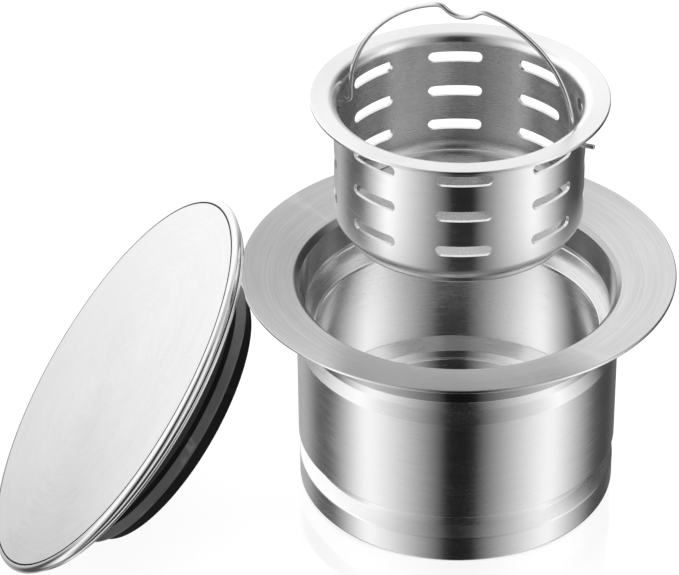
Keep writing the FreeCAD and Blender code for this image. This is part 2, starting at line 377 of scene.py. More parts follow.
class Bench:
    """A small helper that lays shader nodes out and joins them."""

    def __init__(self, tree: bpy.types.NodeTree) -> None:
        """Clears the tree and keeps it."""
        self.tree = tree
        tree.nodes.clear()

    def add(self, kind: str, inputs: dict | None = None, **settings: object) -> bpy.types.Node:
        """Adds one node.

        Args:
            kind: the node's type name.
            inputs: socket name or number to a value or to a socket that feeds it.
            settings: the node's own properties.

        Returns:
            The node.
        """
        node = self.tree.nodes.new(kind)
        for key, value in settings.items():
            setattr(node, key, value)
        for key, value in (inputs or {}).items():
            if isinstance(value, bpy.types.NodeSocket):
                self.tree.links.new(value, node.inputs[key])
            else:
                node.inputs[key].default_value = value
        return node

    def math(self, operation: str, a: object, b: object = 0.0, clamp: bool = False) -> Socket:
        """One math step on numbers or sockets."""
        return self.add("ShaderNodeMath", {0: a, 1: b}, operation=operation, use_clamp=clamp).outputs[0]

    def grey(self, shade: Socket) -> Socket:
        """A grey of one shade."""
        return self.add("ShaderNodeCombineColor", {0: shade, 1: shade, 2: shade}).outputs[0]

    def spot(self) -> Socket:
        """The place on the piece, in its own coordinates."""
        return self.add("ShaderNodeTexCoord").outputs["Object"]

    def worn_edges(self, full: float) -> Socket:
        """Wear: none on a face, full on a sharp edge."""
        pointiness = self.add("ShaderNodeNewGeometry").outputs["Pointiness"]
        return self.span(pointiness, EDGE_FROM, EDGE_FULL, 0.0, full)

    def spread(self, pattern: Socket, low: float, high: float) -> Socket:
        """Maps a noise's usual range onto low to high."""
        return self.span(pattern, NOISE_LOW, NOISE_HIGH, low, high)

    def relief(self, height: Socket, strength: float, depth: float) -> Socket:
        """A normal bent by a fine relief."""
        return self.add("ShaderNodeBump", {
            "Strength": strength, "Distance": depth, "Height": height}).outputs[0]

    def surface(self, inputs: dict) -> None:
        """Adds the surface shader and makes it the material's output."""
        shader = self.add("ShaderNodeBsdfPrincipled", inputs)
        self.add("ShaderNodeOutputMaterial", {0: shader.outputs[0]})

    def span(self, value: Socket, low: float, high: float, out_low: float, out_high: float,
             smooth: bool = False) -> Socket:
        """Maps a range of a value onto another, clamped at both ends.

        Args:
            value: what is mapped.
            low: where its range starts.
            high: where it ends.
            out_low: the result at and below low.
            out_high: the result at and above high.
            smooth: eases in and out instead of a straight ramp.

        Returns:
            The mapped value.
        """
        kind = "SMOOTHSTEP" if smooth else "LINEAR"
        node = self.add("ShaderNodeMapRange", {0: value, 1: low, 2: high, 3: out_low, 4: out_high},
                        interpolation_type=kind, clamp=True)
        return node.outputs[0]

    def noise(self, vector: Socket, scale: float, detail: float = 2.0, rough: float = 0.5) -> Socket:
        """Noise value at a vector."""
        return self.add("ShaderNodeTexNoise", {
            "Vector": vector, "Scale": scale, "Detail": detail, "Roughness": rough}).outputs["Fac"]

    def turned_lines(self, across: float, around: float) -> Socket:
        """Coordinates that stretch a pattern along the turning direction, from the piece as it was turned.

        Args:
            across: pattern cells per metre across the lines.
            around: pattern cells per radius along them.

        Returns:
            A vector socket.
        """
        spot = self.add("ShaderNodeAttribute", attribute_name="turn_spot").outputs["Vector"]
        parts = self.add("ShaderNodeSeparateXYZ", {0: spot})
        flat = self.add("ShaderNodeCombineXYZ", {0: parts.outputs[0], 1: parts.outputs[1]}).outputs[0]
        radius = self.add("ShaderNodeVectorMath", {0: flat}, operation="LENGTH").outputs["Value"]
        way = self.add("ShaderNodeVectorMath", {0: flat}, operation="NORMALIZE").outputs[0]
        way_parts = self.add("ShaderNodeSeparateXYZ", {0: way})
        row = self.math("MULTIPLY", self.math("ADD", radius, parts.outputs[2]), across)
        along_x = self.math("MULTIPLY", way_parts.outputs[0], around)
        along_y = self.math("MULTIPLY", way_parts.outputs[1], around)
        return self.add("ShaderNodeCombineXYZ", {0: row, 1: along_x, 2: along_y}).outputs[0]


def new_material(name: str) -> tuple[bpy.types.Material, Bench]:
    """An empty material and the bench for its nodes.

    Args:
        name: the material's name.

    Returns:
        The material and its bench.
    """
    material = bpy.data.materials.new(name)
    material.use_nodes = True
    return material, Bench(material.node_tree)


@dataclass(frozen=True)
class TurnedSteel:
    """Stainless steel brushed or polished on a lathe, so its lines run round the piece."""

    name: str
    tint: float = 0.80
    roughness: float = 0.24
    anisotropy: float = 0.9
    lines: float = 3200.0
    around: float = 4.0
    line_shade: float = 0.05
    line_depth: float = 0.04
    wear: float = 0.05
    fine_share: float = 0.65    # the rest of the lines' pattern is six times as broad
    mottle: float = 60.0

    def material(self) -> bpy.types.Material:
        """Builds the metal: fine turned lines, a slow unevenness and brighter worn edges.

        Returns:
            The material.
        """
        material, bench = new_material(self.name)
        fine = bench.noise(bench.turned_lines(self.lines, self.around), 1.0, 3.0, 0.6)
        broad = bench.noise(bench.turned_lines(self.lines / 6, self.around / 2), 1.0, 2.0, 0.5)
        mottle = bench.noise(bench.spot(), self.mottle, 3.0, 0.55)
        lines = bench.math("ADD", bench.math("MULTIPLY", fine, self.fine_share),
                           bench.math("MULTIPLY", broad, 1.0 - self.fine_share))
        shade = bench.spread(lines, self.tint - self.line_shade, self.tint + self.line_shade * 0.6)
        shade = bench.math("ADD", shade, bench.worn_edges(self.wear), clamp=True)
        shade = bench.math("MULTIPLY", shade, bench.spread(mottle, 0.97, 1.0))
        rough = bench.spread(lines, self.roughness - 0.04, self.roughness + 0.05)
        rough = bench.math("ADD", rough, bench.span(mottle, 0.35, 0.65, -0.015, 0.02))
        tangent = bench.add("ShaderNodeTangent", direction_type="UV_MAP", uv_map="turned")
        bench.surface({
            "Base Color": bench.grey(shade), "Metallic": 1.0, "Roughness": rough,
            "Anisotropic": self.anisotropy, "Anisotropic Rotation": 0.25,
            "Normal": bench.relief(lines, self.line_depth, METAL_RELIEF), "Tangent": tangent.outputs[0]})
        return material


@dataclass(frozen=True)
class DrawnWire:
    """Bright drawn steel with a faint drag in it, for the wire, cut edges and fixings."""

    name: str
    tint: float = 0.8
    roughness: float = 0.05
    drag: float = 900.0

    def material(self) -> bpy.types.Material:
        """Builds the drawn metal.

        Returns:
            The material.
        """
        material, bench = new_material(self.name)
        drag = bench.noise(bench.spot(), self.drag, 3.0, 0.6)
        bench.surface({
            "Base Color": bench.grey(bench.spread(drag, self.tint - 0.06, self.tint + 0.05)),
            "Metallic": 1.0, "Roughness": bench.spread(drag, self.roughness - 0.04, self.roughness + 0.06),
            "Normal": bench.relief(drag, 0.08, METAL_RELIEF)})
        return material


@dataclass(frozen=True)
class Moulded:
    """Dark plastic or rubber with a fine skin; also a flat black for painted shade and a grey for a painted
    sheen.
    """

    name: str
    shade: float = 0.03
    roughness: float = 0.42
    grain: float = 2600.0
    grain_depth: float = 0.12
    gloss: float = 0.5
    turned: bool = False

    def material(self) -> bpy.types.Material:
        """Builds the moulded surface.

        Returns:
            The material.
        """
        material, bench = new_material(self.name)
        if self.turned:
            skin = bench.noise(bench.turned_lines(self.grain, 5.0), 1.0, 3.0, 0.6)
        else:
            skin = bench.noise(bench.spot(), self.grain, 3.0, 0.6)
        cloud = bench.noise(bench.spot(), 90.0, 2.0, 0.5)
        shade = bench.spread(cloud, self.shade * 0.8, self.shade * 1.2)
        shade = bench.math("ADD", shade, bench.worn_edges(self.shade))
        bench.surface({
            "Base Color": bench.grey(shade),
            "Roughness": bench.spread(skin, self.roughness - 0.06, self.roughness + 0.08),
            "Normal": bench.relief(skin, self.grain_depth, MOULD_RELIEF), "Specular IOR Level": self.gloss})
        return material


def dress(piece: bpy.types.Object, *materials: bpy.types.Material) -> None:
    """Puts materials on a piece's slots, replacing what is there.

    Args:
        piece: the piece, or a node kept from the frame.
        materials: what it wears, first slot first.
    """
    piece.data.materials.clear()
    for material in materials:
        piece.data.materials.append(material)


# ---------------------------------------------------------------- sleeve


@dataclass
class SinkSleeve:
    """The long flanged sleeve and the seat ring pressed into its bore. Sizes in millimetres."""

    height: float = 65.0
    flange_radius: float = 57.15
    flange_sheet: float = 0.9
    flange_dish: float = 3.0
    tube_radius: float = 42.6
    tube_sheet: float = 1.3
    throat_radius: float = 40.2
    mouth_radius: float = 41.7
    mouth_roll: float = 1.5
    collar_step: float = 0.2
    score: tuple[float, float, float, float] = (11.0, 12.6, 0.2, 0.3)
    upper_groove: tuple[float, float, float, float, float] = (14.0, 14.8, 17.4, 20.8, 41.2)
    lower_groove: tuple[float, float, float, float, float] = (50.4, 52.6, 55.0, 57.5, 39.5)
    throat_end: float = 20.0
    throat_ramp_end: float = 21.4
    seat_depth: float = 17.7
    seat_opening: float = 37.4
    seat_sheet: float = 1.3
    seat_lip: float = 0.55
    press_gap: float = 0.02
    edge: float = 0.3
    fold: float = 0.4
    roll: float = 0.8
    neck: float = 1.2
    steel: TurnedSteel = field(default_factory=lambda: TurnedSteel(
        "sleeve_brushed", tint=0.92, lines=3400.0, around=7.0, line_depth=0.015))
    flange_steel: TurnedSteel = field(default_factory=lambda: TurnedSteel(
        "flange_satin", tint=0.62, roughness=0.22, anisotropy=0.5, lines=1500.0, around=2.0,
        line_shade=0.09))
    mouth_steel: TurnedSteel = field(default_factory=lambda: TurnedSteel(
        "mouth_rolled", tint=0.5, roughness=0.16))
    ring_steel: TurnedSteel = field(default_factory=lambda: TurnedSteel(
        "seat_polished", tint=0.88, roughness=0.18, lines=2600.0))

    def sleeve_outline(self) -> Outline:
        """The drawn sheet's section, flange edge first, down the outside and up the bore.

        Returns:
            The outline about Z.
        """
        bore = self.tube_radius - self.tube_sheet
        start, floor, floor_end, end, radius = self.upper_groove
        low_start, low_floor, low_floor_end, low_end, low_radius = self.lower_groove
        crest = low_radius - self.tube_sheet
        collar = self.tube_radius - self.collar_step
        score_top, score_end, cut, ramp = self.score
        corners = [
            (self.flange_radius, 0.0, self.edge),
            (self.flange_radius, self.flange_sheet, self.edge),
            (self.tube_radius, self.flange_sheet + self.flange_dish, self.neck),
            (self.tube_radius, start, self.edge),
            (radius, floor, self.edge),
            (radius, floor_end, self.fold),
            (self.tube_radius, end, self.roll),
            (self.tube_radius, low_start, self.edge),
            (low_radius, low_floor, self.fold),
            (low_radius, low_floor_end, self.fold),
            (collar, low_end, self.roll),
            (collar, self.height, self.roll),
            (bore - self.collar_step, self.height, 0.0),
            (bore - self.collar_step, low_end + self.fold, self.roll),
            (crest, low_floor_end + self.edge, self.fold),
            (crest, low_floor + self.edge, self.fold),
            (bore, low_start - self.edge, self.fold),
            (bore, self.throat_ramp_end, self.fold),
            (self.throat_radius, self.throat_end, self.edge),
            (self.throat_radius, score_end, 0.0),
            (self.throat_radius + cut, score_end - ramp, 0.0),
            (self.throat_radius + cut, score_top + ramp, 0.0),
            (self.throat_radius, score_top, 0.0),
            (self.mouth_radius, self.flange_dish + self.mouth_roll, self.fold),
            (self.mouth_radius + self.mouth_roll, self.flange_dish, self.neck),
        ]
        return Outline(from_top(corners, self.height))

    def ring_outline(self) -> Outline:
        """The seat ring's section.

        Returns:
            The outline about Z.
        """
        low = self.seat_depth + self.seat_sheet
        outer = self.throat_radius - self.press_gap
        corners = [(self.seat_opening, self.seat_depth, self.seat_lip), (outer, self.seat_depth, 0.0),
                   (outer, low, 0.0), (self.seat_opening, low, self.edge)]
        return Outline(from_top(corners, self.height))

    def build(self) -> None:
        """Makes both pieces and dresses them."""
        sleeve = place("sleeve_sheet", Turning(self.sleeve_outline(), 256).mesh("sleeve_sheet"),
                       Body.SLEEVE, Slot.BRUSHED, "sink_sleeve")
        dress(sleeve, self.steel.material(), self.flange_steel.material(), self.mouth_steel.material())
        score = (self.height - self.score[0]) * MM
        roll_end = self.mouth_radius + self.mouth_roll * 0.6
        for face in sleeve.data.polygons:
            centre = face.center
            out = math.hypot(centre.x, centre.y) / MM
            if out > roll_end and face.normal.z > 0.5:
                face.material_index = 1
            elif self.throat_radius + 0.1 < out < roll_end and centre.z > score:
                face.material_index = 2
        ring = place("seat_ring", Turning(self.ring_outline(), 256).mesh("seat_ring"),
                     Body.SLEEVE, Slot.POLISHED, "basket_seat_ring")
        dress(ring, self.ring_steel.material())


# ---------------------------------------------------------------- basket and bail


@dataclass
class StrainerBasket:
    """The deep slotted basket. Sizes in millimetres; depths run down from the rim."""

    top: float = 116.7
    height: float = 37.8
    rim_radius: float = 38.2
    wall_radius: float = 32.2
    sheet: float = 0.9
    rim_under: float = 1.9
    rim_over: float = 2.6
    floor_round: float = 2.9
    heel_round: float = 4.0
    heel_rise: float = 3.9
    foot_radius: float = 29.7
    foot_inner: float = 26.6
    floor_rise: float = 3.3
    shoulder_radius: float = 30.4
    shoulder_rise: float = 2.1
    slot_length: float = 14.3
    slot_height: float = 3.0
    slot_columns: int = 8
    slot_rows: int = 3
    slot_first: float = 6.4
    slot_pitch: float = 10.2
    hinge_turn: float = -22.5
    hinge_depth: float = 7.8
    hinge_hole: float = 0.75
    edge: float = 0.3
    fold: float = 0.4
    roll: float = 0.8
    steel: TurnedSteel = field(default_factory=lambda: TurnedSteel(
        "basket_polished", tint=0.92, roughness=0.22, lines=3400.0, around=7.0, line_depth=0.015))
    inside_steel: TurnedSteel = field(default_factory=lambda: TurnedSteel(
        "basket_inside_brushed", tint=0.74, roughness=0.26, lines=2600.0, around=6.0, line_shade=0.06))
    sheared: DrawnWire = field(default_factory=lambda: DrawnWire(
        "slot_sheared_edge", tint=0.78, roughness=0.16))

    def outline(self) -> Outline:
        """The basket's section: floor, rolled foot, heel, wall and flat rim.

        Returns:
            The outline about Z.
        """
        inner = self.wall_radius - self.sheet
        floor_low = self.height - self.floor_rise
        floor_top = floor_low - self.sheet
        channel_low = self.height - self.sheet
        channel_outer = self.foot_radius - self.sheet
        channel_inner = self.foot_inner + self.sheet
        corners = [
            (0.0, floor_low, 0.0),
            (self.foot_inner, floor_low, self.fold),
            (self.foot_inner, self.height, self.roll),
            (self.foot_radius, self.height, self.roll),
            (self.foot_radius, self.height - self.shoulder_rise, 0.0),
            (self.shoulder_radius, self.height - self.shoulder_rise, 0.0),
            (self.wall_radius, self.height - self.heel_rise, self.heel_round),
            (self.wall_radius, self.sheet + self.fold, self.rim_under),
            (self.rim_radius, self.sheet, self.edge),
            (self.rim_radius, 0.0, self.edge),
            (inner, self.fold, self.rim_over),
            (inner, floor_top + self.fold, self.floor_round),
            (channel_outer, floor_top + self.roll, self.edge),
            (channel_outer, channel_low, self.fold),
            (channel_inner, channel_low, self.fold),
            (channel_inner, floor_top, self.fold),
            (0.0, floor_top, 0.0),
        ]
        return Outline(from_top(corners, self.top))

    def _prism(self, section: list[tuple[float, float]], near: float, far: float,
               angle: float, height: float) -> tuple[list, list]:
        """A straight cutter pointing outwards.

        Args:
            section: its outline (sideways, up), anticlockwise seen from outside.
            near: where it starts, from the axis.
            far: where it ends.
            angle: its direction about Z, in degrees.
            height: height of its centre line.

        Returns:
            Its vertices in metres and its faces.
        """
        a = math.radians(angle)
        out, side = Vector((math.cos(a), math.sin(a), 0)), Vector((-math.sin(a), math.cos(a), 0))
        verts = [tuple((out * reach + side * s + Vector((0, 0, height + u))) * MM)
                 for reach in (near, far) for s, u in section]
        n = len(section)
        faces = [tuple(reversed(range(n))), tuple(range(n, 2 * n))]
        faces += [(i, (i + 1) % n, n + (i + 1) % n, n + i) for i in range(n)]
        return verts, faces

    def cutters(self) -> bpy.types.Object:
        """All slots and the two wire holes as one cutting object.

        Returns:
            The cutter, which the basket's build removes again.
        """
        half, end = (self.slot_length - self.slot_height) / 2, self.slot_height / 2
        slot = [((half + end * math.sin(t)) * side, -end * math.cos(t) * side)
                for side in (1, -1) for t in np.linspace(0, math.pi, 13)]
        hole = [(self.hinge_hole * math.cos(t), self.hinge_hole * math.sin(t))
                for t in np.linspace(0, 2 * math.pi, 24, endpoint=False)]
        verts: list = []
        faces: list = []
        jobs = [(slot, -90 + 360.0 * column / self.slot_columns,
                 self.top - self.slot_first - row * self.slot_pitch)
                for column in range(self.slot_columns) for row in range(self.slot_rows)]
        jobs += [(hole, self.hinge_turn + half_turn, self.top - self.hinge_depth) for half_turn in (0, 180)]
        for section, angle, height in jobs:
            v, f = self._prism(section, self.wall_radius - 5, self.rim_radius, angle, height)
            faces += [tuple(i + len(verts) for i in face) for face in f]
            verts += v
        mesh = bpy.data.meshes.new("cutters")
        mesh.from_pydata(verts, [], faces)
        return link("cutters", mesh)

    def build(self) -> None:
        """Turns the basket, cuts its slots and dresses it."""
        outline = self.outline()
        blank = link("blank", Turning(outline, 256).mesh("blank"))
        cutter = self.cutters()
        cut = blank.modifiers.new("slots", "BOOLEAN")
        cut.object, cut.operation, cut.solver = cutter, "DIFFERENCE", "EXACT"
        ready = blank.evaluated_get(bpy.context.evaluated_depsgraph_get())
        mesh = bpy.data.meshes.new_from_object(ready)
        mesh.name = "basket_shell"
        bpy.data.objects.remove(blank)
        bpy.data.objects.remove(cutter)
        mark_turning(mesh)
        restore_normals(mesh, outline.strips())
        basket = place("basket_shell", mesh, Body.BASKET, Slot.POLISHED, "strainer_basket")
        dress(basket, self.steel.material(), self.inside_steel.material(), self.sheared.material())
        inner, under = (self.wall_radius - self.sheet / 2) * MM, (self.top - self.rim_over) * MM
        low = (self.top - self.height + self.floor_rise + self.sheet / 2) * MM
        for face in mesh.polygons:
            centre, normal = face.center, face.normal
            out = math.hypot(centre.x, centre.y)
            radial = (centre.x * normal.x + centre.y * normal.y) / max(out, TINY * MM)
            on_sheet = abs(radial) > 0.6 or out < inner * 0.93 or centre.z > under
            if low < centre.z < under and out < inner:
                face.material_index = 1 if on_sheet else 2
            elif low < centre.z < under and not on_sheet:
                face.material_index = 2


@dataclass
class BailHandle:
    """The wire bail with its finger dip. Sizes in millimetres."""

    pivot: float = 108.9
    arch_centre: float = 112.1
    arch_radius: float = 29.9
    bend: float = 1.3
    stub: float = 36.1
    wire: float = 0.65
    shoulder_half: float = 6.2
    shoulder_round: float = 3.0
    dip: float = 3.1
    turn: float = -22.5
    metal: DrawnWire = field(default_factory=lambda: DrawnWire("bail_wire"))

    def _arc(self, centre: Vector, radius: float, start: float, end: float, steps: int) -> list[Vector]:
        """Points along an arc, from start to end in degrees, without the first one."""
        turns = [math.radians(start + (end - start) * k / steps) for k in range(1, steps + 1)]
        return [centre + Vector((math.cos(a), math.sin(a))) * radius for a in turns]

    def line(self) -> list[Vector]:
        """The wire's centre line from one end to the other, as (sideways, height) points.

        Returns:
            The points, in millimetres.
        """
        leg = self.arch_radius
        centre = Vector((0, self.arch_centre))
        angle = math.acos(self.shoulder_half / (leg - self.shoulder_round))
        shoulder = centre + Vector((math.cos(angle), math.sin(angle))) * (leg - self.shoulder_round)
        fall = self.arch_centre + leg - self.dip - shoulder.y
        spare = self.shoulder_half ** 2 + fall ** 2 - self.shoulder_round ** 2
        dip = spare / (2 * (self.shoulder_round - fall))
        dip_centre = Vector((0, shoulder.y + fall + dip))
        lean = math.degrees(math.asin(self.shoulder_half / (self.shoulder_round + dip)))
        points = [Vector((self.stub, self.pivot)), Vector((leg + self.bend, self.pivot))]
        points += self._arc(Vector((leg + self.bend, self.pivot + self.bend)), self.bend, 270, 180, 6)
        points += [Vector((leg, self.arch_centre))]
        points += self._arc(centre, leg, 0, math.degrees(angle), 40)
        points += self._arc(shoulder, self.shoulder_round, math.degrees(angle), 90 + lean, 12)
        points += self._arc(dip_centre, dip, 270 + lean, 270, 10)
        return points + [Vector((-p.x, p.y)) for p in reversed(points[:-1])]

    def build(self) -> None:
        """Sweeps round wire along the line, rounds its two ends and dresses it."""
        line = self.line()
        rings = [(point, (after - before).normalized(), 1.0)
                 for before, point, after in zip(line[:1] + line, line, line[1:] + line[-1:])]
        first, last = rings[0], rings[-1]
        tips = [(0.0, 0.55), (0.12, 0.88)]
        start = [(first[0] + first[1] * self.wire * t, first[1], s) for t, s in tips]
        finish = [(last[0] - last[1] * self.wire * t, last[1], s) for t, s in reversed(tips)]
        rings[0] = (first[0] + first[1] * self.wire * 0.35, first[1], 1.0)
        rings[-1] = (last[0] - last[1] * self.wire * 0.35, last[1], 1.0)
        rings = start + rings + finish
        sides = 20
        turns = [2 * math.pi * k / sides for k in range(sides)]
        verts = []
        for point, along, share in rings:
            across, thick = Vector((along.y, -along.x)), self.wire * share
            for a in turns:
                rim = point + across * (thick * math.cos(a))
                verts.append((rim.x * MM, thick * math.sin(a) * MM, rim.y * MM))
        starts = range(0, (len(rings) - 1) * sides, sides)
        faces = [(i + k, i + (k + 1) % sides, i + sides + (k + 1) % sides, i + sides + k)
                 for i in starts for k in range(sides)]
        faces.append(tuple(reversed(range(sides))))
        faces.append(tuple(range((len(rings) - 1) * sides, len(rings) * sides)))
        mesh = bpy.data.meshes.new("bail_wire")
        mesh.from_pydata(verts, [], faces)
        mesh.transform(Matrix.Rotation(math.radians(self.turn), 4, "Z"))
        mesh.polygons.foreach_set("use_smooth", [len(face) == 4 for face in faces])
        bail = place("bail_wire", mesh, Body.BAIL, Slot.POLISHED, "bail_handle")
        dress(bail, self.metal.material())


# ---------------------------------------------------------------- stopper


@dataclass
class Stopper:
    """The domed stopper, drawn face up about Z and then leaned beside the sleeve.

    Sizes in millimetres. It clears the sleeve a little.
    """

    radius: float = 54.9
    dome: float = 2.0
    sheet: float = 0.8
    edge: float = 2.4
    hem: float = 3.2
    groove: float = 0.45
    groove_inset: float = 0.35
    plate_radius: float = 53.2
    plate_gap: float = 0.8
    plate_sheet: float = 0.8
    tab_radius: float = 44.0
    tab_width: float = 3.0
    tab_drop: float = 3.0
    hub_radius: float = 33.5
    hub_wall: float = 4.0
    hub_recess: float = 13.0
    hub_lip: float = 1.6
    hub_low: float = 18.4
    seal_top: float = 11.4
    seal_groove: float = 1.6
    seal_shoulder: float = 37.2
    seal_radius: float = 39.4
    seal_lip: float = 14.2
    seal_low: float = 18.6
    seal_lip_end: float = 14.7
    # Share of the seal's cone, from its shoulder, that stays black as painted shadow under the plate; below
    # it the cone has a painted sheen.
    cone_shadow_share: float = 0.38
    seal_body: float = 38.0
    seal_body_top: float = 15.1
    seal_low_radius: float = 36.6
    stud: float = 3.0
    stud_low: float = 18.3
    stud_hole: float = 3.2
    washer_radius: float = 9.0
    washer_sheet: float = 1.0
    fit_gap: float = 0.02
    tilt: float = 52.4
    turn: float = 3.2
    side: float = -21.5
    gap: float = 90.75
    # Flat black standing for shade: painted shade in the cap's groove line, under the cap's dome and hem,
    # and on the plate's top.
    shadow: Moulded = field(default_factory=lambda: Moulded(
        "painted_shadow_black", shade=0.01, roughness=0.6, gloss=0.1))
    face_steel: TurnedSteel = field(default_factory=lambda: TurnedSteel(
        "stopper_face_brushed", tint=0.88, roughness=0.3, anisotropy=0.35, lines=1100.0,
        line_shade=0.045))
    edge_steel: TurnedSteel = field(default_factory=lambda: TurnedSteel(
        "stopper_edge_polished", tint=0.86, roughness=0.12, anisotropy=0.3, line_shade=0.03))
    plate_steel: TurnedSteel = field(default_factory=lambda: TurnedSteel(
        "stopper_plate_polished", tint=0.8, roughness=0.2))
    plastic: Moulded = field(default_factory=lambda: Moulded(
        "hub_plastic", shade=0.008, roughness=0.4, gloss=0.2))
    rubber: Moulded = field(default_factory=lambda: Moulded(
        "seal_rubber", shade=0.005, roughness=0.6, grain=1500.0, gloss=0.08, turned=True))
    # A grey copy of the black rubber: painted sheen on the lower part of the seal's cone.
    cone: Moulded = field(default_factory=lambda: Moulded(
        "seal_cone_painted_sheen", shade=0.085, roughness=0.36, grain=1100.0, turned=True))
    fixing: DrawnWire = field(default_factory=lambda: DrawnWire(
        "fixing_steel", tint=0.7, roughness=0.28))

    def where(self) -> Matrix:
        """The stopper's place: leaned back, turned a little and standing on its rolled edge.

        Returns:
            From drawn face up to its place in the frame.
        """
        lean, roll = math.radians(self.tilt), self.edge / 2
        height = (self.radius - roll) * math.sin(lean) + roll * math.cos(lean) + roll
        shift = Matrix.Translation(Vector((-self.gap, self.side, height)) * MM)
        return shift @ Matrix.Rotation(math.radians(self.turn), 4, "Z") @ Matrix.Rotation(-lean, 4, "Y")

    def cap_outline(self) -> DrawnOutline:
        """Domed sheet with a fine line round its face, rolled edge, folded hem and the stud.

        Returns:
            The outline, drawn face up.
        """
        roll, flat = self.edge / 2, self.radius - self.edge / 2
        sphere = (flat * flat + self.dome * self.dome) / (2 * self.dome)

        def height(r: float) -> float:
            """Height of the dome's face at a radius."""
            return math.sqrt(sphere * sphere - r * r) - (sphere - self.dome)

        line = flat - self.groove_inset
        def bend(size: float, turns: np.ndarray) -> list[tuple[float, float]]:
            """Points round the rolled edge, at a distance from its centre."""
            return [(flat + size * math.sin(t), -roll + size * math.cos(t)) for t in turns]

        line_end = line - self.groove
        face = [(r, height(r)) for r in np.linspace(flat, line, 3)]
        face += [(line - self.groove * 0.3, height(line) - self.groove), (line_end, height(line_end))]
        face += [(r, height(r)) for r in np.linspace(line_end - 0.4, 0.0, 20)]
        under = [(r, height(r) - self.sheet) for r in np.linspace(self.stud, flat, 12)]
        outer = bend(roll, np.linspace(math.pi, 0.0, 19)[:-1])
        inner = bend(roll - self.sheet, np.linspace(0.0, math.pi, 9)[1:])
        hem = flat - self.hem
        return DrawnOutline([(0.0, -self.stud_low), (self.stud, -self.stud_low)] + under + inner
                            + [(hem, self.sheet - self.edge), (hem, -self.edge)] + outer + face)

    def hub_outline(self) -> Outline:
        """Hollow moulded hub with a groove and a foot that keep the seal on.

        Returns:
            The outline, drawn face up.
        """
        top = -(self.edge + self.plate_gap + self.plate_sheet)
        hole, groove = self.stud_hole, self.hub_radius - self.seal_groove
        foot = self.hub_radius + self.hub_lip
        wall, low = self.hub_radius - self.hub_wall, -self.hub_low
        return Outline([(hole, top, 0.0), (hole, -self.hub_recess, 0.0), (wall, -self.hub_recess, 0.8),
                        (wall, low, 0.4), (foot, low, 0.4), (foot, low + self.hub_lip, 0.3),
                        (groove, low + self.hub_lip, 0.0), (groove, -self.seal_top, 0.0),
                        (self.hub_radius, -self.seal_top, 0.3), (self.hub_radius, top, 0.0)])

    def _on_cone(self, share: float) -> Corner:
        """A corner part way down the seal's cone, from its shoulder to its lip.

        Args:
            share: how far down, from 0 to 1.

        Returns:
            The corner.
        """
        drop = self.seal_top + (self.seal_lip - self.seal_top) * share
        spread = (self.seal_radius - self.seal_shoulder) * share
        return (self.seal_shoulder + spread, -drop, 0.0)

    def seal_outline(self) -> Outline:
        """Rubber ring with a flared lip.

        Returns:
            The outline, drawn face up.
        """
        gap = self.fit_gap
        inner, top = self.hub_radius - self.seal_groove + gap, -(self.seal_top + gap)
        ledge, lip = -(self.hub_low - self.hub_lip - gap), self.hub_radius + self.hub_lip + 0.3
        # The corner part way down the cone splits it where the painted shadow ends and the painted sheen
        # begins.
        return Outline([
            (inner, top, 0.0), (inner, ledge, 0.0), (lip, ledge, 0.0), (lip, -self.seal_low, 0.3),
            (self.seal_low_radius, -self.seal_low, 0.8), (self.seal_body, -self.seal_body_top, 0.2),
            (self.seal_radius, -self.seal_lip_end, 0.15), (self.seal_radius, -self.seal_lip, 0.15),
            self._on_cone(self.cone_shadow_share), (self.seal_shoulder, top, 0.4)])

    def plate_mesh(self) -> bpy.types.Mesh:
        """The second disc with its three lanced tabs.

        Returns:
            The mesh, drawn face up.
        """
        top = -(self.edge + self.plate_gap)
        low, hole = top - self.plate_sheet, self.stud_hole
        disc = Turning(Outline([(hole, low, 0.0), (self.plate_radius, low, 0.3),
                                (self.plate_radius, top, 0.3), (hole, top, 0.0)]), 256).mesh("plate")
        build = bmesh.new()
        build.from_mesh(disc)
        for turn in range(3):
            spin = Matrix.Rotation(math.radians(60 + 120 * turn), 4, "Z")
            size = Matrix.Diagonal((self.plate_sheet * MM, self.tab_width * MM, self.tab_drop * MM, 1.0))
            middle = Vector((self.tab_radius + self.plate_sheet / 2, 0, low - self.tab_drop / 2)) * MM
            where = spin @ Matrix.Translation(middle) @ size
            made = bmesh.ops.create_cube(build, size=1.0, matrix=where)
            rim = list({edge for vert in made["verts"] for edge in vert.link_edges})
            bmesh.ops.bevel(build, geom=rim, offset=0.2 * MM, segments=2, affect="EDGES")
        build.to_mesh(disc)
        build.free()
        disc.set_sharp_from_angle(angle=math.radians(35))
        return disc

    def build(self) -> None:
        """Makes the stack of pieces, leans it and dresses it."""
        where = self.where()
        cap = place("stopper_cap_sheet", Turning(self.cap_outline(), 256).mesh("cap"),
                    Body.STOPPER, Slot.BRUSHED, "stopper_cap", where)
        # Flat black for painted shade on the cap and the plate.
        black = self.shadow.material()
        dress(cap, self.face_steel.material(), self.edge_steel.material(), black)
        home = where.inverted()
        flat = (self.radius - self.edge / 2 - self.groove_inset - self.groove) * MM
        hem_end = (self.radius - self.edge * 0.4) * MM
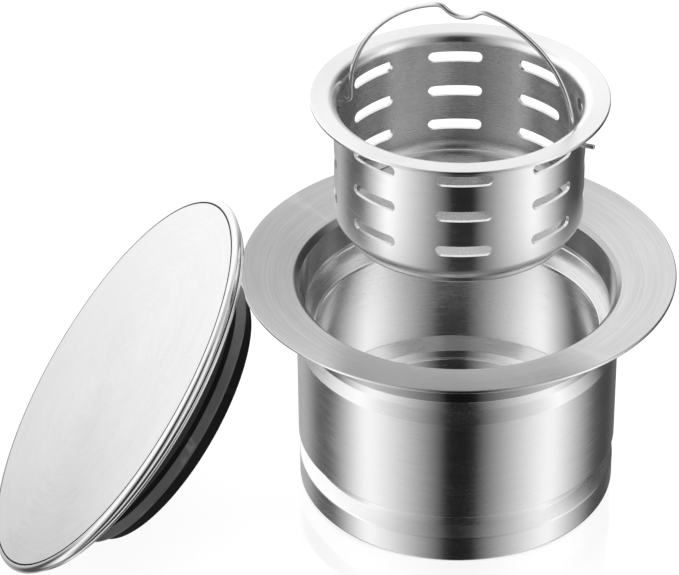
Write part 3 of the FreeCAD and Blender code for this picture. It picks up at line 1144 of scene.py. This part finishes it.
        # Painted shade: the cap's groove line, its underside below the dome and the faces under its hem
        # wear the flat black.
        for face in cap.data.polygons:
            centre = home @ face.center
            out = math.hypot(centre.x, centre.y)
            groove_painted_shade = flat < out < flat + self.groove * MM and centre.z > -self.edge / 2 * MM
            dome_underside_painted_shade = out < flat and centre.z < 0
            hem_underside_painted_shade = out < hem_end and centre.z < -self.edge * 0.9 * MM
            face.material_index = 2 if groove_painted_shade or dome_underside_painted_shade or hem_underside_painted_shade else int(out >= flat)
        hub = place("stopper_hub_moulding", Turning(self.hub_outline(), 192).mesh("hub"),
                    Body.STOPPER, Slot.PLASTIC, "stopper_hub", where)
        dress(hub, self.plastic.material())
        seal = place("stopper_seal_ring", Turning(self.seal_outline(), 256).mesh("seal"),
                     Body.STOPPER, Slot.RUBBER, "stopper_seal", where)
        dress(seal, self.rubber.material(), self.cone.material())
        # Grey painted sheen on the lower cone only; the upper cone keeps the rubber's black as painted
        # shadow under the plate.
        for face in seal.data.polygons:
            centre = home @ face.center
            on_cone = (math.hypot(centre.x, centre.y) > self.seal_shoulder * MM
                       and -self.seal_lip_end * MM < centre.z < self._on_cone(self.cone_shadow_share)[1] * MM)
            face.material_index = 1 if on_cone else 0
        plate = place("stopper_plate_disc", self.plate_mesh(),
                      Body.STOPPER, Slot.POLISHED, "stopper_plate", where)
        dress(plate, self.plate_steel.material(), black)
        # Painted shade: the plate's top faces, between it and the cap, wear the flat black.
        top = -(self.edge + self.plate_gap) * MM
        for face in plate.data.polygons:
            face.material_index = int((home @ face.center).z > top - self.fit_gap * MM)
        high, rim = -self.hub_recess, self.washer_radius
        low = high - self.washer_sheet
        ring = Outline([(self.stud_hole, low, 0.0), (rim, low, 0.3), (rim, high, 0.3),
                        (self.stud_hole, high, 0.0)])
        washer = place("stopper_washer_ring", Turning(ring, 96).mesh("washer"),
                       Body.STOPPER, Slot.POLISHED, "stopper_washer", where)
        dress(washer, self.plate_steel.material())
        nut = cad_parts["stopper_nut"]
        dress(nut, self.fixing.material())
        for piece in (cap, hub, seal, plate, washer, nut):
            piece.visible_glossy = False
        LOG.info("stopper_nut: kept from the frame")


# ---------------------------------------------------------------- studio


@dataclass(frozen=True)
class StudioPanel:
    """One soft dark panel round the set, by direction: 0 is the front, positive to the right."""

    azimuth: float
    half_width: float
    softness: float
    darkness: float
    top: float
    top_softness: float


@dataclass
class Studio:
    """Pale glossy floor, overhead lamp, white surround with four dark panels, and the camera."""

    white: float = 1.15
    sky: float = 0.5
    sky_from: float = 42.0
    sky_softness: float = 25.0
    panels: tuple[StudioPanel, ...] = (
        StudioPanel(1.0, 10.0, 58.0, 0.99, 72.0, 16.0),
        StudioPanel(126.0, 14.0, 42.0, 0.93, 34.0, 22.0),
        StudioPanel(-112.0, 10.0, 30.0, 0.92, -14.0, 18.0),
        StudioPanel(180.0, 20.0, 46.0, 0.70, -28.0, 16.0),
    )
    camera_place: tuple[float, float, float] = (-0.03112, -0.70396, 0.51970)
    camera_pitch: float = 33.222
    camera_roll: float = 0.672
    lens: float = 169.4

    def surround(self) -> None:
        """Lights the set from a white surround with dark panels; the camera sees plain white."""
        world = bpy.data.worlds.new("studio")
        bpy.context.scene.world = world
        world.use_nodes = True
        bench = Bench(world.node_tree)
        way = bench.add("ShaderNodeTexCoord").outputs["Generated"]
        parts = bench.add("ShaderNodeSeparateXYZ", {0: way})
        front = bench.math("MULTIPLY", parts.outputs[1], -1.0)
        azimuth = bench.math("ARCTAN2", parts.outputs[0], front)
        lift = bench.math("ARCSINE", parts.outputs[2])
        light: Socket | float = self.white
        for panel in self.panels:
            turn = bench.math("SUBTRACT", azimuth, math.radians(panel.azimuth))
            turn = bench.math("ARCTAN2", bench.math("SINE", turn), bench.math("COSINE", turn))
            turn = bench.math("ABSOLUTE", turn)
            inside = bench.span(turn, math.radians(panel.half_width),
                                math.radians(panel.half_width + panel.softness), panel.darkness, 0.0)
            below = bench.span(lift, math.radians(panel.top),
                               math.radians(panel.top + panel.top_softness), 1.0, 0.0, smooth=True)
            keep = bench.math("SUBTRACT", 1.0, bench.math("MULTIPLY", inside, below))
            light = bench.math("MULTIPLY", light, keep)
        overhead = bench.span(lift, math.radians(self.sky_from),
                              math.radians(self.sky_from + self.sky_softness), 1.0, self.sky)
        light = bench.math("MULTIPLY", light, overhead)
        seen = bench.add("ShaderNodeLightPath").outputs["Is Camera Ray"]
        colour = bench.add("ShaderNodeMix", {0: seen, 6: bench.grey(light), 7: (1.0, 1.0, 1.0, 1.0)},
                           data_type="RGBA")
        back = bench.add("ShaderNodeBackground", {0: colour.outputs[2], 1: 1.0})
        bench.add("ShaderNodeOutputWorld", {0: back.outputs[0]})

    def floor(self) -> None:
        """A large pale floor with a faint gloss, under the set."""
        size = 6.0
        corners = [(-size, -size, 0), (size, -size, 0), (size, size, 0), (-size, size, 0)]
        mesh = bpy.data.meshes.new("floor")
        mesh.from_pydata(corners, [], [(0, 1, 2, 3)])
        floor = link("floor", mesh)
        floor.location.z = -0.0003
        floor.visible_glossy = False
        material, bench = new_material("pale_floor")
        bench.surface({
            "Base Color": (0.22, 0.22, 0.22, 1.0), "Roughness": 0.05, "Specular IOR Level": 0.9,
            "Emission Color": (1.0, 1.0, 1.0, 1.0), "Emission Strength": 0.8})
        mesh.materials.append(material)

    def lamp(self) -> None:
        """A wide soft lamp overhead that whitens the floor."""
        data = bpy.data.lights.new("overhead", "AREA")
        data.shape, data.size, data.energy = "DISK", 2.4, 34.0
        lamp = link("overhead", data)
        lamp.location = (0.0, 0.1, 1.8)
        lamp.visible_glossy = False

    def camera(self) -> None:
        """The camera, looking down at the set from the front."""
        data = bpy.data.cameras.new("camera")
        data.lens, data.sensor_width = self.lens, 36.0
        data.clip_start, data.clip_end = 0.01, 50.0
        camera = link("camera", data)
        camera.location = self.camera_place
        pitch = Matrix.Rotation(math.radians(90.0 - self.camera_pitch), 4, "X")
        roll = Matrix.Rotation(math.radians(-self.camera_roll), 4, "Z")
        camera.rotation_euler = (pitch @ roll).to_euler()
        bpy.context.scene.camera = camera

    def build(self) -> None:
        """Sets the whole studio up."""
        bpy.context.scene.view_settings.view_transform = "Standard"
        self.surround()
        self.floor()
        self.lamp()
        self.camera()
        LOG.info("studio: %d panels", len(self.panels))


def main() -> None:
    """Builds the set, piece by piece, and the studio round it."""
    logging.basicConfig(level=logging.INFO, format="%(name)s: %(message)s")
    SinkSleeve().build()
    StrainerBasket().build()
    BailHandle().build()
    Stopper().build()
    Studio().build()


if __name__ == "__main__":
    main()
